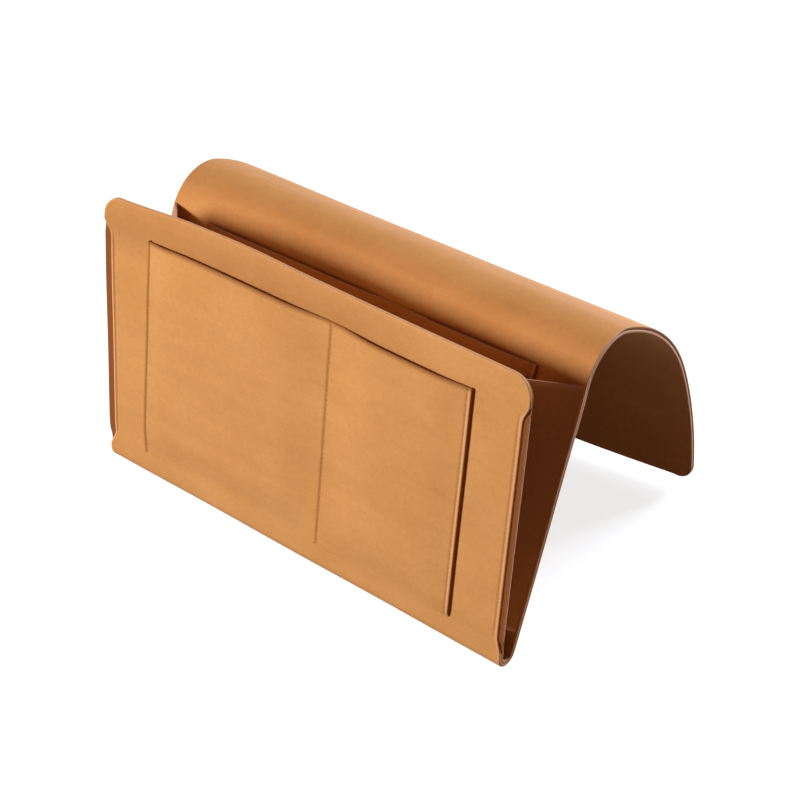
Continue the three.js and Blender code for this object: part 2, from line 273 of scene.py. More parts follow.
def drift(x, s):
    """How far the leather has settled from its true line, as (x, y, z): long shallow waves, the product of
    two sines; a front panel that hangs a degree askew, with its left side leaning out and spread between
    the ear and the fold; a left top corner that has sunk; a top edge with a bell-shaped rise a little left
    of the middle; and a back flap that curls in to the wall between its corners, along a cosine."""
    x, s = np.broadcast_arrays(x, s)
    wave = WAVE_DEPTH * np.sin(x * 38 + s * 21 + 0.6) * np.sin(s * 33 - x * 9 + 1.1)
    on_front = ramp(s, WALL_AT, FOLD_AT)
    hanging = ramp(s, WALL_AT + 0.8 * WALL_LENGTH, WALL_AT)
    near_top = 1 - s / FRONT_LENGTH
    lean = (LEAN_AT_FOOT + LEAN_MORE_AT_TOP * near_top) * ramp(x, -30 * MM, -160 * MM) * on_front
    sunk = CORNER_SUNK * ramp(x, -87 * MM, -161 * MM) * ramp(s, 80 * MM, 10 * MM)
    spread = SPREAD_AT_EAR + (SPREAD_BETWEEN - SPREAD_AT_EAR) * ramp(s, 2 * MM, 24 * MM)
    spread = spread + (SPREAD_AT_FOLD - SPREAD_BETWEEN) * ramp(s, 174 * MM, 210 * MM)
    bow = bell(x - BOW_AT, BOW_WIDTH, BOW_RISE) * ramp(s, 30 * MM, 5 * MM)
    across_curl = np.cos(np.clip(x / (2 * CURL_HALF), -0.5, 0.5) * math.pi)
    curl = FLAP_CURL * across_curl * ramp(s, FLEX_AT, SHEET_END)
    return np.stack([
        -spread * ramp(x, -115 * MM, -165 * MM) * hanging,
        wave - lean - curl,
        (FRONT_DROP - FRONT_TILT * x) * hanging - sunk + bow,
    ], -1)


def place(x, s, offset):
    """Point of the sheet at x across the width, s along it and offset from the skin's outer face."""
    x, s, offset = np.broadcast_arrays(x, s, offset)
    return np.concatenate([x[..., None], section(s, offset)], -1) + drift(x, s)


def new_piece(name, vertices, faces, material, **masks):
    """A mesh object from arrays of points and faces, with one point attribute for each mask."""
    mesh = bpy.data.meshes.new(name)
    mesh.from_pydata(vertices.tolist(), [], faces.tolist())
    mesh.polygons.foreach_set("use_smooth", np.ones(len(mesh.polygons), bool))
    mesh.set_sharp_from_angle(angle=SHARP_ANGLE)
    for mask, values in masks.items():
        attribute = mesh.attributes.new(mask, "FLOAT", "POINT")
        attribute.data.foreach_set("value", np.ascontiguousarray(values, np.float32).ravel())
    mesh.materials.append(material)
    piece = bpy.data.objects.new(name, mesh)
    bpy.context.scene.collection.objects.link(piece)
    return piece


def facing_out(vertices, faces):
    """The same four-cornered faces, turned round if the volume that they close is negative."""
    a, b, c, d = (vertices[faces[:, k]] for k in range(4))
    volume = np.einsum("ij,ij->", a, np.cross(b, c)) + np.einsum("ij,ij->", a, np.cross(c, d))
    return faces if volume > 0 else faces[:, ::-1]


def closed_leather(name, outer, inner, material, **masks):
    """A closed piece between two grids of points of one size. Point (r, c) of one lies under that of the
    other, and side walls join their borders. A mask is one grid of values, or one for each face, or a row
    or a column of them that is repeated."""
    rows, cols = outer.shape[:2]
    ids = np.arange(rows * cols).reshape(rows, cols)
    corners = [ids[:-1, :-1], ids[:-1, 1:], ids[1:, 1:], ids[1:, :-1]]
    face = np.stack([c.ravel() for c in corners], 1)
    border = np.concatenate([ids[0, :-1], ids[:-1, -1], ids[-1, :0:-1], ids[:0:-1, 0]])
    after = np.roll(border, -1)
    side = np.stack([after, border, border + ids.size, after + ids.size], 1)
    faces = np.concatenate([face, face[:, ::-1] + ids.size, side])
    vertices = np.concatenate([outer.reshape(-1, 3), inner.reshape(-1, 3)])
    masks = {mask: np.broadcast_to(values, (2, rows, cols)) for mask, values in masks.items()}
    return new_piece(name, vertices, facing_out(vertices, faces), material, **masks)


# Distances in from a cut edge at which a sheet has a row or a column
EDGE_STEPS = np.concatenate([
    [0, 0.1, 0.33, 0.75, 1.2, 1.6, 1.9, 2.15, 2.35, 2.5, 2.65, 2.85, 3.1, 3.5],
    [4.2, 5.2, 5.8, 6.4, 7, 9, 13, 18],
]) * MM


def across(half):
    """x of a grid's columns for each row's half width: close together near both edges."""
    half = np.asarray(half)[:, None]
    inside = np.linspace(-1, 1, COLUMNS_BETWEEN)[1:-1]
    left = -(half - EDGE_STEPS)
    return np.concatenate([left, inside * (half - EDGE_STEPS[-1]), -left[:, ::-1]], 1)


def along(start, end, step, first_edge=False, last_edge=False):
    """Distances along a stretch, close together near an end that is a cut edge."""
    count = max(2, round((end - start) / step))
    values = np.linspace(start, end, count + 1)
    close = EDGE_STEPS[:5]
    if first_edge:
        values = np.concatenate([start + close, values[values > start + close[-1] + step / 3]])
    if last_edge:
        values = np.concatenate([values[values < end - close[-1] - step / 3], (end - close)[::-1]])
    return values


def to_edge(x, s, half, first, last):
    """Distance in to the outline of a strip with rounded corners: r - |max(q, 0)| - min(max(q), 0),
    with q = (|x| - half + r, |s - middle| - half length + r), for whichever end is nearer."""
    radius = np.where((s - first) < (last - s), CORNER_RADIUS, FLAP_CORNER)
    q_x = np.abs(x) - half + radius
    q_s = radius - np.minimum(s - first, last - s)
    beyond = np.hypot(np.maximum(q_x, 0), np.maximum(q_s, 0))
    return np.maximum(radius - beyond - np.minimum(np.maximum(q_x, q_s), 0), 0)


def corner_half(half, distance, radius):
    """Half width of a row at a distance d in from an end with rounded corners: with h the half width past
    them, h - r + sqrt(r^2 - (r - d)^2)."""
    d = np.clip(distance, 0, radius)
    return half - radius + np.sqrt(radius**2 - (radius - d) ** 2)


def sheet_grid(half_of, start, end):
    """Grid of (x, s) for one half of the sheet, and its distance in to the cut edge."""
    parts = []
    marks = [start] + [s for s in STARTS[1:] if start < s < end] + [end]
    for a, b in zip(marks, marks[1:]):
        middle = (a + b) / 2
        bends = FOLD_AT < middle < WALL_AT or SADDLE_AT < middle < FLEX_AT
        rows = along(a, b, FINE_STEP if bends else COARSE_STEP, a == SHEET_START, b == SHEET_END)
        parts.append(rows if b == end else rows[:-1])
    s = np.concatenate(parts)
    half = half_of(s)
    first, last = -np.inf, np.inf
    if start == SHEET_START:
        first = start
        half = corner_half(half, s - first, CORNER_RADIUS)
    if end == SHEET_END:
        last = end
        half = corner_half(half, last - s, FLAP_CORNER)
    x = across(half)
    s = np.broadcast_to(s[:, None], x.shape)
    return x, s, to_edge(x, s, half_of(s), first, last)


def full_half(s):
    """Half width of the lining: a little more on the wall than elsewhere."""
    return HALF_WIDTH + WALL_EXTRA * within(s, FOLD_AT, SADDLE_AT + 10 * MM, 30 * MM)


def stepped(s):
    """1 on the length of the front panel where the skin is stepped in, between the ears and the flare."""
    past_ears = ramp(s, EAR_LENGTH, EAR_LENGTH + EAR_CURVE)
    return past_ears - ramp(s, FLARE_AT, FLARE_AT + FLARE_LENGTH)


def skin_half(s):
    """Half width of the skin: full at the ears, stepped in below them and flared again at the fold."""
    return full_half(s) - EDGE_INSET * stepped(s)


def board_zone(x, s):
    """1 in the hollow for a board between the leathers, and 0 outside: the sum over the three boards."""
    edge = HALF_WIDTH - HOLLOW_MARGIN
    sides = ramp(np.abs(x), edge, edge - HOLLOW_SLOPE)
    boards = ((0, FOLD_AT), (WALL_AT, SADDLE_AT), (FLAP_AT, SHEET_END))
    return sides * sum(within(s, a + HOLLOW_MARGIN, b - HOLLOW_MARGIN, HOLLOW_SLOPE) for a, b in boards)


def pinched(s):
    """How much thinner the lining is skived towards the front panel's top edge. The skin is skived by a
    share of it."""
    return TOP_SKIVE * ramp(s, SHEET_START + 7 * MM, SHEET_START)


def side_pinch(inset, s):
    """How much thinner the lining gets towards the front panel's two sides, where no board holds it."""
    return SIDE_PINCH * ramp(inset, 5.5 * MM, 0.5 * MM) * ramp(s, FOLD_AT, FOLD_AT - 14 * MM)


def raw_share(distance):
    """1 at a cut edge, falling in a straight line to 0 where the raw edge ends."""
    return np.clip(1 - distance / RAW_WIDTH, 0, 1)


def pale(s):
    """How pale the raw edge is: less pale towards the fold and on the lower part of the wall."""
    darker_share = ramp(s, FOLD_AT - 30 * MM, FOLD_AT) * ramp(s, SADDLE_AT - 30 * MM, SADDLE_AT - 90 * MM)
    return 1 - 0.75 * darker_share


def node_group(name, inputs, outputs):
    """An empty shader group. inputs are (name, type, value), outputs (name, type)."""
    group = bpy.data.node_groups.new(name, "ShaderNodeTree")
    for label, kind, value in inputs:
        socket = group.interface.new_socket(name=label, in_out="INPUT", socket_type=kind)
        socket.default_value = value
    for label, kind in outputs:
        group.interface.new_socket(name=label, in_out="OUTPUT", socket_type=kind)
    return group, group.nodes.new("NodeGroupInput"), group.nodes.new("NodeGroupOutput")


def add(tree, kind, **settings):
    """A node with its settings. Names of sockets start with in_, and the rest are properties."""
    node = tree.nodes.new(kind)
    for key, value in settings.items():
        if not key.startswith("in_"):
            setattr(node, key, value)
            continue
        label = key[3:]
        socket = node.inputs[int(label)] if label.isdigit() else node.inputs[label.replace("_", " ")]
        if hasattr(value, "is_output"):
            tree.links.new(value, socket)
        else:
            socket.default_value = value
    return node


def times(tree, first, second):
    """The product of two values."""
    return add(tree, "ShaderNodeMath", operation="MULTIPLY", in_0=first, in_1=second).outputs[0]


def noise(tree, vector, size, detail, roughness=0.5):
    """Soft noise from 0 to 1 over a vector."""
    node = add(
        tree,
        "ShaderNodeTexNoise",
        in_Vector=vector,
        in_Scale=size,
        in_Detail=detail,
        in_Roughness=roughness,
    )
    return node.outputs[0]


def mapped(tree, value, low, high, at_low=0.0, at_high=1.0):
    """A value carried in a straight line from low and high to two new values, and held outside them."""
    node = add(
        tree,
        "ShaderNodeMapRange",
        in_Value=value,
        in_From_Min=low,
        in_From_Max=high,
        in_To_Min=at_low,
        in_To_Max=at_high,
    )
    return node.outputs[0]


def mixed(tree, share, first, second, blend_type="MIX"):
    """A colour between two, which a Mix node takes at its inputs 6 and 7 and gives at its output 2."""
    first, second = ((*value, 1) if isinstance(value, tuple) else value for value in (first, second))
    node = add(
        tree,
        "ShaderNodeMix",
        data_type="RGBA",
        blend_type=blend_type,
        in_0=share,
        in_6=first,
        in_7=second,
    )
    return node.outputs[2]


def new_material(name):
    """A material, with its node tree and its shader."""
    material = bpy.data.materials.new(name)
    material.use_nodes = True
    return material, material.node_tree, material.node_tree.nodes["Principled BSDF"]


def relief(tree, shader, height, strength, depth):
    """Gives a shader the fine relief of a height that changes over the surface."""
    bump = add(tree, "ShaderNodeBump", in_Strength=strength, in_Distance=depth, in_Height=height)
    tree.links.new(bump.outputs[0], shader.inputs["Normal"])


def grain_group():
    """Fine pebbled grain: small cells with creased borders, and a finer noise over them."""
    group, given, result = node_group(
        "leather_grain",
        [("Vector", "NodeSocketVector", (0, 0, 0)), ("Size", "NodeSocketFloat", GRAIN_SIZE)],
        [("Height", "NodeSocketFloat"), ("Crease", "NodeSocketFloat")],
    )
    vector, size = given.outputs["Vector"], given.outputs["Size"]
    cells = add(
        group,
        "ShaderNodeTexVoronoi",
        feature="SMOOTH_F1",
        in_Vector=vector,
        in_Scale=size,
        in_Smoothness=0.45,
    )
    from_centre = cells.outputs["Distance"]
    pebble = mapped(group, from_centre, low=0.1, high=0.75, at_low=1.0, at_high=0.0)
    fine = noise(group, vector, times(group, size, 0.35), detail=5.0, roughness=0.62)
    height = add(group, "ShaderNodeMix", in_0=0.55, in_2=pebble, in_3=fine)
    group.links.new(height.outputs[0], result.inputs["Height"])
    group.links.new(mapped(group, from_centre, low=0.5, high=0.9), result.inputs["Crease"])
    return group


def tone_group():
    """Slow drift of the dye, as cloudy patches of two sizes and as soft streaks along the width."""
    group, given, result = node_group(
        "dye_drift",
        [("Vector", "NodeSocketVector", (0, 0, 0))],
        [("Cloud", "NodeSocketFloat"), ("Fleck", "NodeSocketFloat"), ("Streak", "NodeSocketFloat")],
    )
    vector = given.outputs["Vector"]
    drawn_out = add(group, "ShaderNodeVectorMath", operation="MULTIPLY", in_0=vector, in_1=(5, 75, 75))
    patterns = {
        "Cloud": noise(group, vector, size=24.0, detail=4.0, roughness=0.55),
        "Fleck": noise(group, vector, size=260.0, detail=3.0, roughness=0.6),
        "Streak": noise(group, drawn_out.outputs[0], size=1.0, detail=4.0, roughness=0.6),
    }
    for name, pattern in patterns.items():
        group.links.new(pattern, result.inputs[name])
    return group


GRAIN = grain_group()
TONE = tone_group()


def leather(name, light, dark, roughness, gloss):
    """Leather with a pebbled grain and a cloudy dye between two tones. Over them lie its masks: a painted
    highlight on edges, then pale raw edges, then edge paint, which also carries painted shade."""
    material, tree, shader = new_material(name)
    spot = add(tree, "ShaderNodeTexCoord").outputs["Object"]
    tone = add(tree, "ShaderNodeGroup", node_tree=TONE, in_Vector=spot).outputs
    grain = add(tree, "ShaderNodeGroup", node_tree=GRAIN, in_Vector=spot, in_Size=GRAIN_SIZE).outputs
    colour = mixed(tree, mapped(tree, tone["Cloud"], low=0.3, high=0.7), dark, light)
    fleck = mapped(tree, tone["Fleck"], low=0.3, high=0.7, at_low=0.96, at_high=1.03)
    streak = mapped(tree, tone["Streak"], low=0.32, high=0.68, at_low=0.955, at_high=1.03)
    colour = mixed(tree, 1.0, colour, times(tree, fleck, streak), blend_type="MULTIPLY")
    in_creases = tuple(value * share for value, share in zip(dark, IN_CREASES))
    colour = mixed(tree, times(tree, grain["Crease"], 0.35), colour, in_creases)
    # The first mask is a painted highlight, and the last is edge paint together with painted shade
    for mask, tint in (("edge_highlight", HIGHLIGHT_TINT), ("cut_edge", CUT_EDGE), ("painted_edge", EDGE_PAINT_AND_SHADE)):
        share = add(tree, "ShaderNodeAttribute", attribute_name=mask).outputs["Fac"]
        colour = mixed(tree, share, colour, tint)
    tree.links.new(colour, shader.inputs["Base Color"])
    rough = mapped(tree, grain["Height"], 0.0, 1.0, at_low=roughness + 0.1, at_high=roughness - 0.06)
    tree.links.new(rough, shader.inputs["Roughness"])
    relief(tree, shader, grain["Height"], strength=0.5, depth=0.22 * MM)
    shader.inputs["Specular IOR Level"].default_value = gloss
    shader.inputs["Specular Tint"].default_value = (*WARM_SHEEN, 1)
    return material


def fibrous(name, dark, light, fibre_size, detail, roughness, strength, depth):
    """A material of fine fibres, a noise between two tones that also gives its relief."""
    material, tree, shader = new_material(name)
    spot = add(tree, "ShaderNodeTexCoord").outputs["Object"]
    fibre = noise(tree, spot, fibre_size, detail)
    tree.links.new(mixed(tree, fibre, dark, light), shader.inputs["Base Color"])
    relief(tree, shader, fibre, strength, depth)
    shader.inputs["Roughness"].default_value = roughness
    return material


skin_leather = leather("skin_leather", SKIN_LIGHT, SKIN_DARK, roughness=0.52, gloss=0.05)
lining_leather = leather("lining_leather", LINING_LIGHT, LINING_DARK, roughness=0.55, gloss=0.24)

# Thread a little lighter than the leather, with a fine twist
waxed_thread = fibrous(
    "waxed_thread",
    THREAD_DARK,
    THREAD_LIGHT,
    fibre_size=3000.0,
    detail=2.0,
    roughness=0.6,
    strength=0.5,
    depth=0.1 * MM,
)

# Pressed grey board with fibres and flecks
greyboard = fibrous(
    "greyboard",
    BOARD_DARK,
    BOARD_LIGHT,
    fibre_size=900.0,
    detail=6.0,
    roughness=0.9,
    strength=0.4,
    depth=0.2 * MM,
)


def skin_masks(x, s, inset):
    """How raw the skin is, and where light and shade are painted on it: a painted highlight along its
    edges, strongest on the front panel's sides, and painted shade inside the front pocket's mouth and on
    the strip above that. Each is a product of ramps and bells."""
    past_front = ramp(s, FOLD_AT - 12 * MM, FOLD_AT)
    cut = raw_share(inset) * np.maximum(past_front, 0.6 * stepped(s)) * pale(s)
    # Painted highlight along the edges down to the fold, strongest on the front panel's sides
    highlit = bell(inset - 0.4 * MM, 0.9 * MM, 1.0) * ramp(s, FOLD_AT + 10 * MM, FOLD_AT)
    highlit = highlit * (0.2 + 0.75 * stepped(s))
    # Painted shade inside the front pocket's mouth
    mouth_shade = within(s, FRONT_POCKET_TOP + 1.5 * MM, FRONT_POCKET_TOP + 40 * MM, 1.5 * MM, 10 * MM)
    mouth_shade = 0.9 * mouth_shade * ramp(np.abs(x), 122 * MM, 118 * MM)
    # Painted shade on the strip above the front pocket's mouth, deeper towards it and to the left
    strip_shade = (0.14 + 0.16 * ramp(s, 0, FRONT_POCKET_TOP)) * ramp(x, 110 * MM, 30 * MM)
    strip_shade = strip_shade * ramp(s, FRONT_POCKET_TOP + 30 * MM, FRONT_POCKET_TOP)
    return {"cut_edge": cut, "edge_highlight": highlit, "painted_edge": np.maximum(mouth_shade, strip_shade)}


def skin(name, start, end):
    """One half of the skin, from its outer face at offset 0, with a pressed seam and a bead at its sides,
    to the glue line or the board."""
    x, s, inset = sheet_grid(skin_half, start, end)
    x = x + SKIN_SHIFT * stepped(s)
    sewn = within(s, 24 * MM, FOLD_AT - 12 * MM, 8 * MM, 6 * MM)
    sewn = sewn + within(s, WALL_AT + 14 * MM, SADDLE_AT - 2 * MM, 6 * MM, 4 * MM)
    seam = bell(inset - SEAM_IN, SEAM_WIDTH, SEAM_DEPTH) - bell(inset - BEAD_IN, 0.75 * MM, 0.3 * MM)
    outer = rounded(inset, OUTER_ROUND) + seam * sewn + SKIN_SKIVE_SHARE * pinched(s)
    inner = LAYER + (BOARD_FACE - LAYER) * board_zone(x, s) - rounded(inset, SKIN_GLUE_ROUND)
    masks = skin_masks(x, s, inset)
    return closed_leather(name, place(x, s, outer), place(x, s, inner), skin_leather, **masks)


def lining_masks(s, inset):
    """How raw and how dark the lining is: painted shade along its edge past the crown and in the fold on
    its outer face, and dark on its inner face where the skin is stepped in. Each is a product of ramps."""
    below_ear = ramp(s, EAR_LENGTH - 4 * MM, EAR_LENGTH + 4 * MM)
    past_crown = ramp(s, SADDLE_AT + 34 * MM, SADDLE_AT + 46 * MM)
    edge = raw_share(inset)
    cut = edge * (1 - past_crown) * (0.3 + 0.7 * below_ear) * pale(s)
    # Painted shade along the edge past the crown, where it turns from the light
    painted = edge * past_crown
    # Painted shade in the fold on the outer face
    fold_shade = 0.4 * within(s, FOLD_AT - GUSSET_FOOT, WALL_AT + GUSSET_FOOT, 6 * MM)
    bare = ramp(s, FOLD_AT, FOLD_AT - 8 * MM) * below_ear * ramp(inset, 7 * MM, 6 * MM) * (1 - edge)
    dark = np.stack([np.maximum(painted, fold_shade), np.maximum(painted, bare)])
    return {"cut_edge": cut, "painted_edge": dark}


def lining(name, start, end):
    """One half of the lining, from its outer face at the full offset to the glue line or the board. Where
    the skin is stepped in, the lining's bare border swells a little to the skin's side."""
    x, s, inset = sheet_grid(full_half, start, end)
    outer = SHEET - rounded(inset, OUTER_ROUND) - pinched(s) - side_pinch(inset, s)
    thickness = SHEET - LAYER - GLUE_LINE
    under = SHEET - thickness + (thickness - BOARD_FACE) * board_zone(x, s)
    bare = EDGE_INSET * stepped(s) - SKIN_SHIFT * np.sign(x)
    swell = BARE_SWELL * ramp(inset, bare + 0.5 * MM, bare - 0.1 * MM) * ramp(stepped(s), 0.7, 1)
    inner = under + rounded(inset, LINING_GLUE_ROUND) - swell
    masks = lining_masks(s, inset)
    return closed_leather(name, place(x, s, outer), place(x, s, inner), lining_leather, **masks)


pocket_skin = skin("pocket_skin", SHEET_START, SPLIT_AT)
pocket_lining = lining("pocket_lining", SHEET_START, SPLIT_AT)
saddle_skin = skin("saddle_flap_skin", SPLIT_AT, SHEET_END)
saddle_lining = lining("saddle_flap_lining", SPLIT_AT, SHEET_END)
for piece, nodes, slot in (
    (pocket_skin, ("front_skin", "fold_skin", "wall_skin"), "skin_leather"),
    (pocket_lining, ("front_lining", "fold_lining", "wall_lining"), "lining_leather"),
):
    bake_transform(piece)
    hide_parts(*nodes)
for piece, nodes, slot in (
    (saddle_skin, ("saddle_skin", "flex_skin", "flap_skin"), "skin_leather"),
    (saddle_lining, ("saddle_lining", "flex_lining", "flap_lining"), "lining_leather"),
):
    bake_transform(piece)
    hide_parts(*nodes)


def stiffener(name, start, end, body):
    """A board between the leathers, a grid at one offset over a grid at another, which follows the same
    settled line as they do."""
    x = np.linspace(-1, 1, 30) * (HALF_WIDTH - BOARD_MARGIN - BOARD_SLACK)
    s = np.linspace(start + BOARD_MARGIN + BOARD_SLACK, end - BOARD_MARGIN - BOARD_SLACK, 24)[:, None]
    near = place(x, s, BOARD_FACE + BOARD_SLACK)
    far = place(x, s, SHEET - BOARD_FACE - BOARD_SLACK)
    board = closed_leather(name + "_stiffener", near, far, greyboard)
    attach(board, body)
    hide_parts(name + "_board")


stiffener("front", 0, FOLD_AT, "front_panel")
stiffener("wall", WALL_AT, SADDLE_AT, "wall")
stiffener("flap", FLAP_AT, SHEET_END, "flap")


def unit(vectors):
    """The same vectors, each divided by its length."""
    return vectors / np.linalg.norm(vectors, axis=1)[:, None]


def one_stitch():
    """Points and faces of a stitch that lies along its x, with z up from the leather: a capsule of seven
    rings with six points each, whose ends sink into the leather by the fourth power of their distance."""
    ring = np.linspace(0, 2 * math.pi, 7)[:-1]
    length_at = np.array([-1.32, -1.2, -0.7, 0, 0.7, 1.2, 1.32])[:, None] * MM
    size_at = np.array([0.15, 0.72, 1, 1, 1, 0.72, 0.15])[:, None] * THREAD_RADIUS
    lift_at = THREAD_RADIUS * (0.62 - 1.3 * (length_at / length_at[-1]) ** 4)
    side = np.cos(ring) * size_at
    up = np.sin(ring) * size_at + lift_at
    points = np.stack([np.broadcast_to(length_at, side.shape), side, up], -1).reshape(-1, 3)
    ids = np.arange(side.size).reshape(side.shape)
    after = np.roll(ids, -1, 1)
    tube = np.stack([ids[:-1], after[:-1], after[1:], ids[1:]], -1).reshape(-1, 4)
    cap = np.array([[0, 3, 2, 1], [0, 5, 4, 3]])
    faces = np.concatenate([tube, ids[0][cap], ids[-1][cap[:, ::-1]]])
    return points, facing_out(points, faces)


def stitches(name, points, normals, body):
    """A row of stitches along a line of points on a face. Each is turned so that its x runs along the line
    and its z points away from the face."""
    run = np.concatenate([[0], np.cumsum(np.linalg.norm(np.diff(points, axis=0), axis=1))])
    count = max(1, int(run[-1] / STITCH_PITCH))
    centres = (np.arange(count) + 0.5) * run[-1] / count

    def at(values, where):
        """Values between those of the line's points, at distances along it."""
        return np.stack([np.interp(where, run, values[:, k]) for k in range(3)], 1)

    tangent = unit(at(points, centres + 0.5 * MM) - at(points, centres - 0.5 * MM))
    up = at(normals, centres)
    up = unit(up - tangent * np.einsum("ij,ij->i", up, tangent)[:, None])
    axes = np.stack([tangent, np.cross(tangent, up), up], 1)
    local, faces = one_stitch()
    vertices = at(points, centres)[:, None, :] + np.einsum("pk,nkc->npc", local, axes)
    faces = faces[None] + (np.arange(count) * len(local))[:, None, None]
    piece = new_piece(name, vertices.reshape(-1, 3), faces.reshape(-1, 4), waxed_thread)
    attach(piece, body)


@dataclass
class FlatPocket:
    """A flat pocket that is sewn to a face of the sheet.

    offset is where the face lies, and outward is -1 where the pocket stands off the skin and 1 where it
    stands off the lining. mouth_at is s of its mouth, from which s grows down the pocket where down is 1
    and falls where it is -1. mouth_ends and foot_ends are x of its left and right ends. left_share is how
    far its left side stands off, as a share of the full height. dark_mouth is how dark its mouth is, with
    edge paint and painted shade in its gap; dark_face is how much painted shade darkens its face further
    in; pale_mouth is how pale its mouth's raw edge is.
    """

    name: str
    node: str
    slot: str
    body: str
    leather: bpy.types.Material
    offset: float
    outward: int
    mouth_at: float
    down: int
    height: float
    mouth_ends: tuple
    foot_ends: tuple
    divider: float
    left_share: float
    dark_mouth: float
    dark_face: float
    pale_mouth: float


def pocket_columns(divider):
    """x of a flat pocket's columns between its bends: close together at its sides and at its divider."""
    steps = [1.5, 1.8, 2.1, 2.3, 2.5, 2.7, 2.9, 3.2, 3.6, 5, 8, 12, 16, 21, 27, 33, 40, 48, 56, 64]
    from_side = np.array(steps) * MM
    near = np.array([0, 0.25, 0.5, 0.75, 1, 1.4, 2, 3, 4.5, 7, 10, 14, 19, 25, 32, 40]) * MM
    by_divider = np.concatenate([divider - near[:0:-1], divider + near])
    columns = np.concatenate([-POCKET_HALF + from_side, by_divider, POCKET_HALF - from_side[::-1]])
    return np.unique(np.round(columns, 5))


def pocket_rise(pocket, x, t):
    """Height of a pocket's face at x and at a distance t down from its mouth: full between its seams, and
    flush at the divider and the foot, by the lesser of two ramps across times one down."""
    left_ramp = ramp(x, -POCKET_HALF + 1 * MM, -POCKET_HALF + 17 * MM)
    left = pocket.left_share + (1 - pocket.left_share) * left_ramp
    by_divider = ramp(np.abs(x - pocket.divider), 0, 38 * MM)
    by_right = ramp(x, POCKET_HALF - 26 * MM, POCKET_HALF - 2 * MM)
    from_foot = ramp(pocket.height - t, 0, 26 * MM - 22 * MM * by_right)
    full = (POCKET_RISE - POCKET_LEATHER - POCKET_GAP) * (1 - 0.6 * by_right)
    return POCKET_LEATHER + POCKET_GAP + full * np.minimum(left, by_divider) * from_foot


def above_face(pocket, x, t, height):
    """Points at a height above the face that a pocket is sewn to. Each of its two sides is a straight line
    from its end at the mouth to its end at the foot, and x is carried in between them."""
    share = t / pocket.height
    left, right = (top + (foot - top) * share for top, foot in zip(pocket.mouth_ends, pocket.foot_ends))
    fitted = left + (right - left) * (x + POCKET_HALF) / (2 * POCKET_HALF)
    return place(fitted, pocket.mouth_at + pocket.down * t, pocket.offset + pocket.outward * height)


def pocket_masks(pocket, x, t, from_side):
    """How raw and how dark a pocket is: painted shade along its sides, its divider and deeper into its
    face, edge paint with painted shade along its mouth, and a painted highlight along the bead on the
    right."""
    # Painted shade in the crease along the left side, on the right side wall, which faces away from the
    # light, and along the divider
    dark_left = 0.4 * ramp(from_side, 4 * MM, 2 * MM) * (x < 0)
    dark_right = 0.85 * ramp(from_side, 0.5 * MM, 0.2 * MM) * (x > 0)
    dark = np.maximum(dark_left + dark_right, 0.32 * bell(x - pocket.divider, 1.3 * MM, 1.0))
    # Edge paint and painted shade along the mouth
    dark = np.maximum(dark, pocket.dark_mouth * ramp(t, 2.6 * MM, 0))
    # Painted shade that deepens into the face
    dark = np.maximum(dark, pocket.dark_face * (0.35 + 0.65 * ramp(t, 0, 14 * MM)))
    raw = pocket.pale_mouth * raw_share(t)
    # Painted highlight along the bead on the right
    highlit = 0.6 * bell(from_side - BEAD_IN, 0.9 * MM, 1.0) * (x > 0)
    return {"cut_edge": raw, "painted_edge": dark * (1 - raw), "edge_highlight": highlit}


def pocket_seams(pocket):
    """The rows of stitches that hold a pocket: at its sides, its divider and its foot."""
    down_side = np.linspace(3 * MM, pocket.height - SEAM_IN, 60)
    along_foot = np.linspace(-1, 1, 60) * (POCKET_HALF - 2 * SEAM_IN)
    for word, x, t, depth in (
        ("left", SEAM_IN - POCKET_HALF, down_side, SEAM_DEPTH),
        ("right", POCKET_HALF - SEAM_IN, down_side, SEAM_DEPTH),
        ("divider", pocket.divider, down_side, DIVIDER_DEPTH),
        ("foot", along_foot, pocket.height - SEAM_IN, FOOT_DEPTH),
    ):
        height = pocket_rise(pocket, x, t) - depth
        points = above_face(pocket, x, t, height)
        above = above_face(pocket, x, t, height + MM)
        stitches(f"{pocket.name}_seam_{word}", points, above - points, pocket.body)


